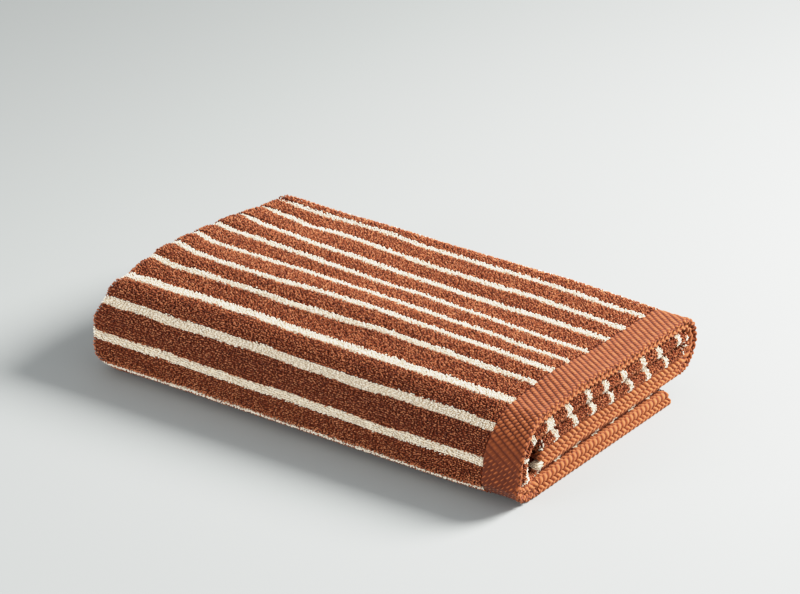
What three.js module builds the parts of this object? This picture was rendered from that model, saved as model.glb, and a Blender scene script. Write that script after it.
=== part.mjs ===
import * as THREE from 'three';

// A folded bath towel. One terry cloth, hemmed at both short ends, is folded across its length
// into four plies and then folded in three across its width, like a letter.
// Millimetres, +Z up, +X along the stripes towards the hemmed end, +Y towards the back fold.
// The origin is under the middle of the towel, on the surface that it lies on.

// The cloth
const clothThickness = 4.1;
const plyPitch = 4.75;
const layerGap = 1.2;

// The four plies, counted from the inside of the letter fold outwards
const pliesInStack = 4;
const stackThickness = (pliesInStack - 0.5) * plyPitch + clothThickness / 2;
const outerFoldX = -176;
const innerHemX = 174.4;
const outerHemX = 175;
const shortFoldX = 177;

// The letter fold, seen along X
const tipY = 77;
const frontFoldY = -86;
const backFoldY = 87;
const tuckedEdgeY = -83;
const frontFoldRadius = 10.7;
const backFoldRadius = layerGap / 2;

// Heights of the inner face of the stack in each layer, and of the top over them
const bottomInner = stackThickness;
const topInner = bottomInner + 2 * frontFoldRadius;
const tuckedInner = topInner - 2 * backFoldRadius;
const plainTop = topInner + stackThickness;

// How finely the curves are stepped
const crossFoldSteps = 6;
const letterFoldSteps = 9;
const stationsX = [-155, -135, -90, -10, 70, 125, 150, 165];
const stationsY = [58, 33, 10, -12, -33, -56];

// The edge at the bottom tip is stepped back, ply by ply, from the lowest one
const tipStep = 2.6;

// Heights of the top of the towel: a row for each place along X, a column for each place across Y
const crownColumns = { back: 80, middle: 20, front: -35, edge: -80 };
const crown = [
  { x: -155, back: 62, middle: 69.5, front: 69, edge: 61 },
  { x: -135, back: 61.5, middle: 66, front: 67.5, edge: 61 },
  { x: -90, back: 62.5, middle: 65, front: 67.5, edge: 61 },
  { x: 0, back: 62, middle: 61.5, front: 66.5, edge: 60 },
  { x: 75, back: 62, middle: 60, front: 64.5, edge: 59.5 },
  { x: 165, back: 58, middle: 58.5, front: 62, edge: 58.5 },
];

// The thick hems press on the plies between them: levels away from the hems, and at them
const hemLevels = [
  { name: 'floor', even: 0, atHem: 0 },
  { name: 'between the bottom hems', even: bottomInner - 3 * plyPitch, atHem: 5.5 },
  { name: 'over the bottom hems', even: bottomInner - 2 * plyPitch, atHem: 11 },
  { name: 'top of the bottom layer', even: bottomInner, atHem: 16.5 },
  { name: 'between the tucked hems', even: tuckedInner - 3 * plyPitch, atHem: 23 },
  { name: 'over the tucked hems', even: tuckedInner - 2 * plyPitch, atHem: 29.2 },
  { name: 'under the top layer', even: topInner, atHem: 40 },
  { name: 'under the top hems', even: topInner + 2 * plyPitch, atHem: 50 },
  { name: 'top', even: plainTop, atHem: plainTop },
];
const hemSwellFrom = 120;
const hemSwellTo = 165;

// The round front sags out at its foot and falls back at its shoulder
const leanFromY = -58;
const leanToY = -104;
const frontLean = [
  { z: 0, lean: -7 },
  { z: 7, lean: -7 },
  { z: 27, lean: 0 },
  { z: 60, lean: 8 },
];

// The folded end is set back towards the back of the towel, and under it
const backInset = 7;
const backInsetFromY = -20;
const backInsetToY = 100;
const footInset = 5;
const footInsetBelow = 30;
const insetFrom = -120;

// The outer plies splay out along X where they pass round the front
const frontFlare = 6;
const flareFrom = 140;

const smooth = (t) => {
  const c = Math.min(1, Math.max(0, t));
  return c * c * (3 - 2 * c);
};

// A value read from rows sorted by key, eased from one row to the next
function readRows(rows, key, column, at, ease) {
  if (at <= rows[0][key]) return rows[0][column];
  for (let i = 1; i < rows.length; i += 1) {
    const low = rows[i - 1];
    const high = rows[i];
    if (at <= high[key]) {
      const t = (at - low[key]) / (high[key] - low[key]);
      return low[column] + (high[column] - low[column]) * (ease ? smooth(t) : t);
    }
  }
  return rows[rows.length - 1][column];
}

// The line of the cloth through its four plies, as x, height in the stack and the way it heads
function crossPath() {
  const level = (ply) => (ply - 0.5) * plyPitch;
  const points = [];
  const straight = (ply, from, to) => {
    const between = stationsX.filter((x) => x > Math.min(from, to) && x < Math.max(from, to));
    if (to < from) between.reverse();
    const heading = to > from ? 0 : Math.PI;
    for (const x of [from, ...between]) {
      points.push({ x, h: level(ply), heading });
    }
  };
  const fold = (x, fromPly, toPly, heading) => {
    const centre = (level(fromPly) + level(toPly)) / 2;
    const reach = (level(toPly) - level(fromPly)) / 2;
    const side = Math.cos(heading);
    for (let i = 0; i < crossFoldSteps; i += 1) {
      const a = (Math.PI * i) / crossFoldSteps;
      points.push({
        x: x + side * Math.abs(reach) * Math.sin(a),
        h: centre - reach * Math.cos(a),
        heading: heading + Math.sign(reach) * side * a,
      });
    }
  };
  const outerCentre = outerFoldX + 1.5 * plyPitch + clothThickness / 2;
  const shortCentre = shortFoldX - 0.5 * plyPitch - clothThickness / 2;
  straight(3, innerHemX, outerCentre);
  fold(outerCentre, 3, 2, Math.PI);
  straight(2, outerCentre, shortCentre);
  fold(shortCentre, 2, 1, 0);
  straight(1, shortCentre, outerCentre);
  fold(outerCentre, 1, 4, Math.PI);
  straight(4, outerCentre, outerHemX);
  points.push({ x: outerHemX, h: level(4), heading: 0 });
  return points;
}

// The inner face of the stack along the letter fold, as y, z and the outward direction
function letterPath() {
  const points = [];
  const straight = (from, to, z, outward) => {
    const between = stationsY.filter((y) => y > Math.min(from, to) && y < Math.max(from, to));
    if (to > from) between.reverse();
    for (const y of [from, ...between]) {
      points.push({ y, z, outward });
    }
  };
  const fold = (y, z, radius, outward) => {
    for (let i = 0; i < letterFoldSteps; i += 1) {
      const a = outward - (Math.PI * i) / letterFoldSteps;
      points.push({ y: y + radius * Math.cos(a), z: z + radius * Math.sin(a), outward: a });
    }
  };
  straight(tipY, frontFoldY, bottomInner, -Math.PI / 2);
  fold(frontFoldY, bottomInner + frontFoldRadius, frontFoldRadius, -Math.PI / 2);
  straight(frontFoldY, backFoldY, topInner, Math.PI / 2);
  fold(backFoldY, topInner - backFoldRadius, backFoldRadius, Math.PI / 2);
  straight(backFoldY, tuckedEdgeY, tuckedInner, -Math.PI / 2);
  points.push({ y: tuckedEdgeY, z: tuckedInner, outward: -Math.PI / 2 });
  return points;
}

// The height of the top over one place of the plan
function crownHeight(x, y) {
  const columns = Object.entries(crownColumns).sort((p, q) => p[1] - q[1]);
  const profile = columns.map(([name, at]) => ({ at, top: readRows(crown, 'x', name, x, true) }));
  return readRows(profile, 'at', 'top', y, true);
}

// One point of the cloth, from its place in the stack and along the letter fold
function place(x, h, along) {
  let y = along.y + h * Math.cos(along.outward);
  let z = along.z + h * Math.sin(along.outward);
  const nearHem = smooth((x - hemSwellFrom) / (hemSwellTo - hemSwellFrom));
  z += nearHem * (readRows(hemLevels, 'even', 'atHem', z, false) - z);
  const lean = readRows(frontLean, 'z', 'lean', z, true);
  y += lean * smooth((y - leanFromY) / (leanToY - leanFromY));
  const roundFront = along.y < frontFoldY ? Math.sin(along.outward - Math.PI / 2) ** 2 : 0;
  const splay = frontFlare * roundFront * (h / stackThickness) ** 2;
  const inset = backInset * smooth((y - backInsetFromY) / (backInsetToY - backInsetFromY))
    + footInset * smooth(1 - z / footInsetBelow);
  const moved = x + splay * smooth((x - flareFrom) / (outerHemX - flareFrom))
    + inset * smooth((x - insetFrom) / (outerFoldX - insetFrom));
  return new THREE.Vector3(moved, y, (z * crownHeight(x, y)) / plainTop);
}

// A closed sheet: two faces over the same grid, joined round all four edges
function sheetGeometry(rows, columns) {
  const positions = [];
  const reach = clothThickness / 2;
  for (const side of [1, -1]) {
    rows.forEach((row) => {
      columns.forEach((column, j) => {
        const x = row.x - side * reach * Math.sin(row.heading);
        const h = row.h + side * reach * Math.cos(row.heading);
        const along = { ...column };
        if (j === 0) along.y -= tipStep * Math.max(0, stackThickness - h) / plyPitch;
        positions.push(...place(x, h, along).toArray());
      });
    });
  }
  const wide = columns.length;
  const face = rows.length * wide;
  const index = [];
  const quad = (a, b, c, d) => index.push(a, b, c, a, c, d);
  for (let i = 0; i + 1 < rows.length; i += 1) {
    for (let j = 0; j + 1 < wide; j += 1) {
      const a = i * wide + j;
      quad(a, a + wide, a + wide + 1, a + 1);
      quad(face + a, face + a + 1, face + a + wide + 1, face + a + wide);
    }
  }
  for (let i = 0; i + 1 < rows.length; i += 1) {
    const a = i * wide;
    const b = a + wide - 1;
    quad(a, face + a, face + a + wide, a + wide);
    quad(b, b + wide, face + b + wide, face + b);
  }
  for (let j = 0; j + 1 < wide; j += 1) {
    const last = face - wide + j;
    quad(j, j + 1, face + j + 1, face + j);
    quad(last, face + last, face + last + 1, last + 1);
  }
  const geometry = new THREE.BufferGeometry();
  geometry.setAttribute('position', new THREE.Float32BufferAttribute(positions, 3));
  geometry.setIndex(index);
  geometry.computeVertexNormals();
  return geometry;
}

// The whole towel, moved so that the origin is under the middle of its box
function makeTowel() {
  const geometry = sheetGeometry(crossPath(), letterPath());
  geometry.computeBoundingBox();
  const middle = geometry.boundingBox.getCenter(new THREE.Vector3());
  geometry.translate(-middle.x, -middle.y, -geometry.boundingBox.min.z);
  const terry = new THREE.MeshStandardMaterial({ color: 0xa4532c, roughness: 0.95, metalness: 0 });
  const towel = new THREE.Mesh(geometry, terry);
  towel.name = 'towel';
  return towel;
}

const part = new THREE.Group();
part.add(makeTowel());

export default part;
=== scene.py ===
# %% [markdown]
# A folded bath towel in striped terry, in one cloth. It is folded across its length into four
# plies, and then in three across its width, like a letter. This lesson bends one flat cloth
# through both folds with a formula, so every loop of the pile and every rib of the woven band
# knows its place on the flat cloth and on the folded towel.

# %% Load the frame
import math

import bpy
import numpy as np

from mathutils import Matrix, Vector


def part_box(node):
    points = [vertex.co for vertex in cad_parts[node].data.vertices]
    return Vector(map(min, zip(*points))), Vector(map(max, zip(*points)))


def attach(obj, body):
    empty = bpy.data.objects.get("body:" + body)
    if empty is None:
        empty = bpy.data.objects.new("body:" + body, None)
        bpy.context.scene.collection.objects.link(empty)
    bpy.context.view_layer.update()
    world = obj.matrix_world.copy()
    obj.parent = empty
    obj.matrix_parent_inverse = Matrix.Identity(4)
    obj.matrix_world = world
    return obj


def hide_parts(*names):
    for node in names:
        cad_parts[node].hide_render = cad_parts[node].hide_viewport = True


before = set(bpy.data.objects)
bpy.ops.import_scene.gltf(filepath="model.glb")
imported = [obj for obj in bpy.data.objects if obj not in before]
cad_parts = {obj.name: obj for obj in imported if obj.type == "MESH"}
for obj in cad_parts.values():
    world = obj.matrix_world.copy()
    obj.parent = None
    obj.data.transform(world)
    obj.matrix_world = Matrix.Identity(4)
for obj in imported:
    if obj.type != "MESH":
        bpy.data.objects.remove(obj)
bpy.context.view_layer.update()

towel_low, towel_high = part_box("towel")
print("frame", [round(c, 4) for c in (*towel_low, *towel_high)])

# %% [markdown]
# The camera stands where the picture was taken from: to the right of the front, a little above,
# and well back, with a long lens, so that the towel's edges stay almost parallel.

# %% Camera
CAMERA_DISTANCE = 2.6
CAMERA_AZIMUTH = math.radians(35.833)
CAMERA_ELEVATION = math.radians(25.232)
CAMERA_TARGET = Vector((-0.04327, 0.06799, 0.025))
SENSOR_WIDTH = 36.0
LENS = 166.72

towards_camera = Vector((
    math.sin(CAMERA_AZIMUTH) * math.cos(CAMERA_ELEVATION),
    -math.cos(CAMERA_AZIMUTH) * math.cos(CAMERA_ELEVATION),
    math.sin(CAMERA_ELEVATION),
))
camera_data = bpy.data.cameras.new("camera")
camera_data.sensor_width = SENSOR_WIDTH
camera_data.lens = LENS
camera = bpy.data.objects.new("camera", camera_data)
bpy.context.scene.collection.objects.link(camera)
camera.location = CAMERA_TARGET + towards_camera * CAMERA_DISTANCE
camera.rotation_mode = "QUATERNION"
camera.rotation_quaternion = (-towards_camera).to_track_quat("-Z", "Y")
bpy.context.scene.camera = camera
print("camera", [round(c, 3) for c in camera.location])

# %% [markdown]
# Colours are picked as sRGB hex values, as on a dyer's shade card, and shaders want linear light.
# Nodes are added by one small function, which takes the settings and the links together.

# %% Colours and nodes
def linear(hex_colour):
    """The linear RGBA of an sRGB hex colour."""
    channels = [int(hex_colour[i:i + 2], 16) / 255 for i in (1, 3, 5)]
    return tuple(c / 12.92 if c <= 0.04045 else ((c + 0.055) / 1.055) ** 2.4 for c in channels) + (1.0,)


def add_node(tree, kind, settings=None, links=None):
    """A node whose settings are its own attributes or its inputs, by name or number."""
    made = tree.nodes.new(kind)
    for key, value in (settings or {}).items():
        if isinstance(key, str) and hasattr(made, key):
            setattr(made, key, value)
        else:
            made.inputs[key].default_value = value
    for key, source in (links or {}).items():
        tree.links.new(source, made.inputs[key])
    return made


def new_material(name):
    """An empty material, with its node tree and its shader."""
    material = bpy.data.materials.new(name)
    material.use_nodes = True
    tree = material.node_tree
    shader = tree.nodes["Principled BSDF"]
    return material, tree, shader


print("middle grey", [round(c, 3) for c in linear("#808080")])

# %% [markdown]
# The stage is a pale, matt, seamless floor. It could be a curved sheet of studio paper. A flat
# one, far wider than the view and painted a little darker far off as shade, looks the same from here.

# %% The floor
FLOOR_SIZE = 12.0
FLOOR_HEX = "#A5A9A9"
# The far colour is painted shade: the floor darkens far off, where the light falls away.
FLOOR_PAINTED_SHADE_HEX = "#8D9191"
FLOOR_PAINTED_SHADE_WAY = (-0.76, 0.65, -0.15, 0.95)


def make_floor():
    """A pale floor far wider than the view, of studio paper, with painted shade that makes it a little
    darker far off.
    """
    half = FLOOR_SIZE / 2
    mesh = bpy.data.meshes.new("floor")
    corners = [(-half, -half, 0), (half, -half, 0), (half, half, 0), (-half, half, 0)]
    mesh.from_pydata(corners, [], [(0, 1, 2, 3)])
    floor = bpy.data.objects.new("floor", mesh)
    bpy.context.scene.collection.objects.link(floor)
    material, tree, shader = new_material("matt_studio_paper_painted_shade")
    shader.inputs["Roughness"].default_value = 0.9
    shader.inputs["Specular IOR Level"].default_value = 0.05
    coordinates = add_node(tree, "ShaderNodeTexCoord").outputs["Object"]
    parts = add_node(tree, "ShaderNodeSeparateXYZ", links={0: coordinates})
    way_x, way_y, near, far = FLOOR_PAINTED_SHADE_WAY
    across = add_node(tree, "ShaderNodeMath", {"operation": "MULTIPLY", 1: way_x}, {0: parts.outputs["X"]})
    back = add_node(tree, "ShaderNodeMath", {"operation": "MULTIPLY_ADD", 1: way_y},
                    {0: parts.outputs["Y"], 2: across.outputs[0]})
    graded = add_node(tree, "ShaderNodeMapRange", {"interpolation_type": "SMOOTHSTEP", 1: near, 2: far},
                      {0: back.outputs[0]})
    shades = {"data_type": "RGBA", 6: linear(FLOOR_HEX), 7: linear(FLOOR_PAINTED_SHADE_HEX)}
    painted_shade_blend = add_node(tree, "ShaderNodeMix", shades, {0: graded.outputs[0]})
    tree.links.new(painted_shade_blend.outputs[2], shader.inputs["Base Color"])
    mesh.materials.append(material)
    return floor


make_floor()
print("floor", FLOOR_SIZE, "m")

# %% [markdown]
# A soft window stands behind and to the right, so the top and the hemmed end are bright, and the
# long round front and the floor before it are in shade. A weak wide light, low in front, stands
# for the room that throws light back.

# %% Lights
WORLD_HEX = "#F4F5F6"
WORLD_STRENGTH = 0.72
LIGHTS = {
    "window": dict(way=(0.50, 0.625, 0.545), distance=1.8, size=0.84, watts=112.0, hex="#FFFCF8"),
    "low_bounce": dict(way=(-0.40, -1.00, 0.15), distance=2.2, size=1.2, watts=43.0, hex="#FFFEFC"),
}


def make_lights():
    """Soft area lights that face the towel, and a pale surround."""
    for name, light in LIGHTS.items():
        data = bpy.data.lights.new(name, "AREA")
        data.shape = "DISK"
        data.size = light["size"]
        data.energy = light["watts"]
        data.color = linear(light["hex"])[:3]
        lamp = bpy.data.objects.new(name, data)
        bpy.context.scene.collection.objects.link(lamp)
        way = Vector(light["way"]).normalized()
        lamp.location = way * light["distance"]
        lamp.rotation_mode = "QUATERNION"
        lamp.rotation_quaternion = (-way).to_track_quat("-Z", "Y")
    world = bpy.data.worlds.new("pale_room")
    bpy.context.scene.world = world
    world.use_nodes = True
    background = world.node_tree.nodes["Background"]
    background.inputs["Color"].default_value = linear(WORLD_HEX)
    background.inputs["Strength"].default_value = WORLD_STRENGTH


make_lights()
print("lights", list(LIGHTS))

# %% [markdown]
# The bright end of the picture is bent softly towards white, as film does, so that the white
# stripes keep their loops where the window is on them. The dark half is left as it is.

# %% Soft highlights
# Linear light, and the linear light that it is shown as
SHOULDER_WHITE = 2.0
SHOULDER = [
    (0.20, 0.20),
    (0.40, 0.40),
    (0.50, 0.49),
    (0.70, 0.645),
    (0.85, 0.74),
    (1.10, 0.835),
    (1.34, 0.89),
    (2.0, 0.975),
]


def bend_highlights(view):
    """A soft shoulder: light values above the first point are shown darker than they are."""
    view.view_transform = "Standard"
    view.use_curve_mapping = True
    mapping = view.curve_mapping
    mapping.white_level = (SHOULDER_WHITE,) * 3
    curve = mapping.curves[3]
    curve.points[0].location = (0.0, 0.0)
    curve.points[1].location = (1.0, SHOULDER[-1][1])
    for light, shown in SHOULDER[:-1]:
        curve.points.new(light / SHOULDER_WHITE, shown)
    mapping.update()


bend_highlights(bpy.context.scene.view_settings)
print("shoulder points", len(SHOULDER))

# %% [markdown]
# The fold is worked out in millimetres. The cloth lies between two hems: u runs along its length,
# from the hem that ends up under the top ply to the hem that shows, and v runs across its width,
# from the bottom edge round the front fold and the back fold to the edge that is tucked in.
# These are the same named sizes as in the solid towel, so the two lie in one place.

# %% Sizes of the folded cloth
MM = 0.001
PLY_THICKNESS = 4.1
PLY_PITCH = 4.75
LAYER_GAP = 1.2
STACK = 3.5 * PLY_PITCH + PLY_THICKNESS / 2
OUTER_FOLD_X = -176.0
INNER_HEM_X = 174.4
OUTER_HEM_X = 175.0
SHORT_FOLD_X = 177.0
TIP_Y = 77.0
FRONT_FOLD_Y = -86.0
BACK_FOLD_Y = 87.0
TUCKED_EDGE_Y = -83.0
FRONT_RADIUS = 10.7
BACK_RADIUS = LAYER_GAP / 2
BOTTOM_INNER = STACK
TOP_INNER = BOTTOM_INNER + 2 * FRONT_RADIUS
TUCKED_INNER = TOP_INNER - 2 * BACK_RADIUS
PLAIN_TOP = TOP_INNER + STACK
TIP_STEP = 2.6
TIP_STEP_RUN = 19.0


def ease(t):
    """0 to 1 with a soft start and end."""
    c = np.clip(t, 0.0, 1.0)
    return c * c * (3 - 2 * c)


def eased(at, keys, values):
    """Reads a table of values, eased from one key to the next."""
    keys = np.asarray(keys, float)
    values = np.asarray(values, float)
    low = np.clip(np.searchsorted(keys, at, side="right") - 1, 0, len(keys) - 2)
    t = (at - keys[low]) / (keys[low + 1] - keys[low])
    return values[low] + (values[low + 1] - values[low]) * ease(t)


print("plies", 12, "stack", STACK, "top", PLAIN_TOP)

# %% [markdown]
# The first fold could be a chain of bones or a cloth simulation. A path of straights and half
# turns is exact, and it gives each point its height in the stack and the way the cloth heads.

# %% First fold, into four plies
def level(ply):
    """Height of a ply's middle in the stack, counted from the inside of the letter fold."""
    return (ply - 0.5) * PLY_PITCH


OUTER_CENTRE = OUTER_FOLD_X + 1.5 * PLY_PITCH + PLY_THICKNESS / 2
SHORT_CENTRE = SHORT_FOLD_X - 0.5 * PLY_PITCH - PLY_THICKNESS / 2
CROSS_STEPS = [
    ("run", 3, INNER_HEM_X, OUTER_CENTRE),
    ("turn", 3, 2, OUTER_CENTRE),
    ("run", 2, OUTER_CENTRE, SHORT_CENTRE),
    ("turn", 2, 1, SHORT_CENTRE),
    ("run", 1, SHORT_CENTRE, OUTER_CENTRE),
    ("turn", 1, 4, OUTER_CENTRE),
    ("run", 4, OUTER_CENTRE, OUTER_HEM_X),
]


def step_length(step):
    """Length of cloth in one run or one half turn."""
    if step[0] == "run":
        return abs(step[3] - step[2])
    return math.pi * abs(level(step[2]) - level(step[1])) / 2


CROSS_STARTS = np.concatenate([[0.0], np.cumsum([step_length(step) for step in CROSS_STEPS])])
CLOTH_LENGTH = float(CROSS_STARTS[-1])


def cross_fold(u):
    """x, height in the stack and heading of the points u along the cloth."""
    u = np.asarray(u, float)
    which = np.clip(np.searchsorted(CROSS_STARTS, u, side="right") - 1, 0, len(CROSS_STEPS) - 1)
    x = np.zeros_like(u)
    h = np.zeros_like(u)
    heading = np.zeros_like(u)
    for i, step in enumerate(CROSS_STEPS):
        here = which == i
        gone = u[here] - CROSS_STARTS[i]
        if step[0] == "run":
            way = 1.0 if step[3] > step[2] else -1.0
            x[here] = step[2] + way * gone
            h[here] = level(step[1])
            heading[here] = 0.0 if way > 0 else math.pi
        else:
            way = 1.0 if step[3] > 0 else -1.0
            reach = (level(step[2]) - level(step[1])) / 2
            a = gone / abs(reach)
            x[here] = step[3] + way * abs(reach) * np.sin(a)
            h[here] = level(step[1]) + reach * (1 - np.cos(a))
            heading[here] = (0.0 if way > 0 else math.pi) + math.copysign(1.0, reach) * way * a
    return x, h, heading


print("cloth length", round(CLOTH_LENGTH, 1), "mm")

# %% [markdown]
# The second fold wraps the stack of four like a letter. Its front turn is open and round, and its
# back turn is pressed flat. In a turn, v is measured at the middle of the stack, where the cloth
# is neither short nor long.

# %% Second fold, in three like a letter
FRONT_TURN = math.pi * (FRONT_RADIUS + STACK / 2)
BACK_TURN = math.pi * (BACK_RADIUS + STACK / 2)
LETTER_STARTS = np.cumsum([
    0.0,
    TIP_Y - FRONT_FOLD_Y,
    FRONT_TURN,
    BACK_FOLD_Y - FRONT_FOLD_Y,
    BACK_TURN,
    BACK_FOLD_Y - TUCKED_EDGE_Y,
])
CLOTH_WIDTH = float(LETTER_STARTS[-1])
V_FRONT, V_TOP, V_BACK, V_TUCKED = LETTER_STARTS[1:5]


def letter_fold(v):
    """y, z and the outward direction of the stack's inner face, v across the cloth."""
    v = np.asarray(v, float)
    down = -math.pi / 2
    front = np.clip((v - V_FRONT) / FRONT_TURN, 0, 1) * math.pi
    back = np.clip((v - V_BACK) / BACK_TURN, 0, 1) * math.pi
    outward = down - front - back
    y = TIP_Y - np.clip(v, None, V_FRONT)
    z = np.full_like(v, BOTTOM_INNER)
    in_front = v > V_FRONT
    y = np.where(in_front, FRONT_FOLD_Y + FRONT_RADIUS * np.cos(down - front), y)
    z = np.where(in_front, BOTTOM_INNER + FRONT_RADIUS + FRONT_RADIUS * np.sin(down - front), z)
    on_top = v > V_TOP
    y = np.where(on_top, FRONT_FOLD_Y + np.clip(v, None, V_BACK) - V_TOP, y)
    z = np.where(on_top, TOP_INNER, z)
    in_back = v > V_BACK
    up = math.pi / 2
    y = np.where(in_back, BACK_FOLD_Y + BACK_RADIUS * np.cos(up - back), y)
    z = np.where(in_back, TOP_INNER - BACK_RADIUS + BACK_RADIUS * np.sin(up - back), z)
    y = np.where(v > V_TUCKED, BACK_FOLD_Y - (v - V_TUCKED), y)
    return y, z, outward


print("cloth width", round(CLOTH_WIDTH, 1), "mm")

# %% [markdown]
# A real folded towel isn't even: its folded end is puffed up, and soft troughs run over its top.
# A table of heights in plan and a few soft bumps say this plainly, where a cloth
# simulation would settle in its own way.

# %% Crown and creases
CROWN_Y = [-80, -35, 20, 80]
CROWN = [
    (-155, (61, 67, 65.2, 61.2)),
    (-135, (61, 67, 65, 61)),
    (-90, (61, 67.5, 65, 61.4)),
    (0, (60, 66.5, 61.5, 60.6)),
    (75, (59.5, 64.5, 60, 61)),
    (165, (58.5, 62, 58.5, 58)),
]

# Each crease is soft and wide: its middle, the way it runs, half its length and width, its depth
CREASES = [
    dict(x=-118, y=62, turn=62, long=34, wide=13, deep=1.5),
    dict(x=-60, y=-8, turn=8, long=60, wide=12, deep=0.9),
    dict(x=20, y=38, turn=-12, long=70, wide=12, deep=0.9),
    dict(x=95, y=-25, turn=10, long=45, wide=11, deep=0.8),
    dict(x=-15, y=-58, turn=4, long=80, wide=11, deep=0.9),
    dict(x=-110, y=20, turn=-8, long=40, wide=12, deep=-0.9),
    dict(x=50, y=5, turn=0, long=60, wide=11, deep=-0.8),
]


def creases(x, y):
    """Height that the soft creases take from the top, or add to it."""
    total = np.zeros(np.broadcast(x, y).shape)
    for crease in CREASES:
        turn = math.radians(crease["turn"])
        dx = x - crease["x"]
        dy = y - crease["y"]
        along = (dx * math.cos(turn) + dy * math.sin(turn)) / crease["long"]
        across = (dy * math.cos(turn) - dx * math.sin(turn)) / crease["wide"]
        total -= crease["deep"] * np.exp(-along ** 2 - across ** 2)
    return total


def crown(x, y):
    """Height of the top over one place of the plan."""
    keys = [row[0] for row in CROWN]
    columns = [eased(x, keys, [row[1][i] for row in CROWN]) for i in range(len(CROWN_Y))]
    low = np.clip(np.searchsorted(CROWN_Y, y, side="right") - 1, 0, len(CROWN_Y) - 2)
    at = np.asarray(CROWN_Y, float)
    t = ease((y - at[low]) / (at[low + 1] - at[low]))
    columns = np.stack(columns)
    below = np.take_along_axis(columns, low[None], 0)[0]
    above = np.take_along_axis(columns, low[None] + 1, 0)[0]
    return below + (above - below) * t + creases(x, y)


print("creases", len(CREASES))

# %% [markdown]
# The round front leans, the thick hems press on the plies between them, and the folded end is
# set back. Each of these moves the plies in step, so that no ply cuts another.

# %% Placing a point of the cloth
HEM_EVEN = [0, BOTTOM_INNER - 3 * PLY_PITCH, BOTTOM_INNER - 2 * PLY_PITCH, BOTTOM_INNER,
            TUCKED_INNER - 3 * PLY_PITCH, TUCKED_INNER - 2 * PLY_PITCH, TOP_INNER,
            TOP_INNER + 2 * PLY_PITCH, PLAIN_TOP]
HEM_LEVEL = [0, 5.5, 11, 16.5, 23, 29.2, 40, 50, PLAIN_TOP]
HEM_SWELL = (120.0, 165.0)
LEAN_Z = [0, 7, 27, 60]
LEAN = [-7, -7, 0, 8]
LEAN_FROM_TO = (-58.0, -104.0)
BACK_INSET = 7.0
BACK_INSET_Y = (-20.0, 100.0)
FOOT_INSET = 5.0
FOOT_INSET_BELOW = 30.0
INSET_FROM = -120.0
FRONT_FLARE = 6.0
FLARE_FROM = 140.0
BOTTOM_FOLD_BACK = 6.5
SET_BACK_V = (V_FRONT + 12.0, 24.0)
SET_BACK_PLIES = 2.4


def place(x, h, v):
    """The folded place of a point at x and height h in the stack, v across the cloth."""
    y0, z0, outward = letter_fold(v)
    y0 = y0 - TIP_STEP * np.clip(STACK - h, 0, None) / PLY_PITCH * np.clip(1 - v / TIP_STEP_RUN, 0, 1)
    y = y0 + h * np.cos(outward)
    z = z0 + h * np.sin(outward)
    near_hem = ease((x - HEM_SWELL[0]) / (HEM_SWELL[1] - HEM_SWELL[0]))
    z = z + near_hem * (np.interp(z, HEM_EVEN, HEM_LEVEL) - z)
    y = y + eased(z, LEAN_Z, LEAN) * ease((y - LEAN_FROM_TO[0]) / (LEAN_FROM_TO[1] - LEAN_FROM_TO[0]))
    round_front = np.where(y0 < FRONT_FOLD_Y, np.cos(outward) ** 2, 0.0)
    splay = FRONT_FLARE * round_front * (h / STACK) ** 2
    inset = BACK_INSET * ease((y - BACK_INSET_Y[0]) / (BACK_INSET_Y[1] - BACK_INSET_Y[0]))
    inset = inset + FOOT_INSET * ease(1 - z / FOOT_INSET_BELOW)
    moved = x + splay * ease((x - FLARE_FROM) / (OUTER_HEM_X - FLARE_FROM))
    moved = moved + inset * ease((x - INSET_FROM) / (OUTER_FOLD_X - INSET_FROM))
    lower_plies = ease((SET_BACK_PLIES * PLY_PITCH - h) / PLY_PITCH)
    set_back = BOTTOM_FOLD_BACK * ease((SET_BACK_V[0] - v) / SET_BACK_V[1]) * lower_plies
    moved = moved - set_back * ease((x - FLARE_FROM) / (SHORT_FOLD_X - FLARE_FROM))
    return np.stack([moved, y, z * crown(x, y) / PLAIN_TOP], -1)


def folded(u, v, out):
    """The folded place of the cloth's point u, v, out millimetres from its middle."""
    u, v, out = np.broadcast_arrays(np.asarray(u, float), np.asarray(v, float), np.asarray(out, float))
    x, h, heading = cross_fold(u)
    return place(x - out * np.sin(heading), h + out * np.cos(heading), v)


def plan_centre():
    """The middle of the folded towel in plan, which the frame has at its origin."""
    u, v = np.meshgrid(np.linspace(0, CLOTH_LENGTH, 1400), np.linspace(0, CLOTH_WIDTH, 300), indexing="ij")
    points = folded(u, v, PLY_THICKNESS / 2).reshape(-1, 3)
    return (points.min(0) + points.max(0))[:2] / 2


PLAN_CENTRE = plan_centre()
SHIFT = np.array([*(-PLAN_CENTRE), 0.0])
print("plan centre", PLAN_CENTRE.round(2))

# %% [markdown]
# Meshes are made from whole arrays of points and faces, which is quick for many thousands of
# loops. Each piece then rides on the frame's one body and stands for the plain solid towel.

# %% Making a piece
FLOOR_GAP = 0.05


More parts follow.
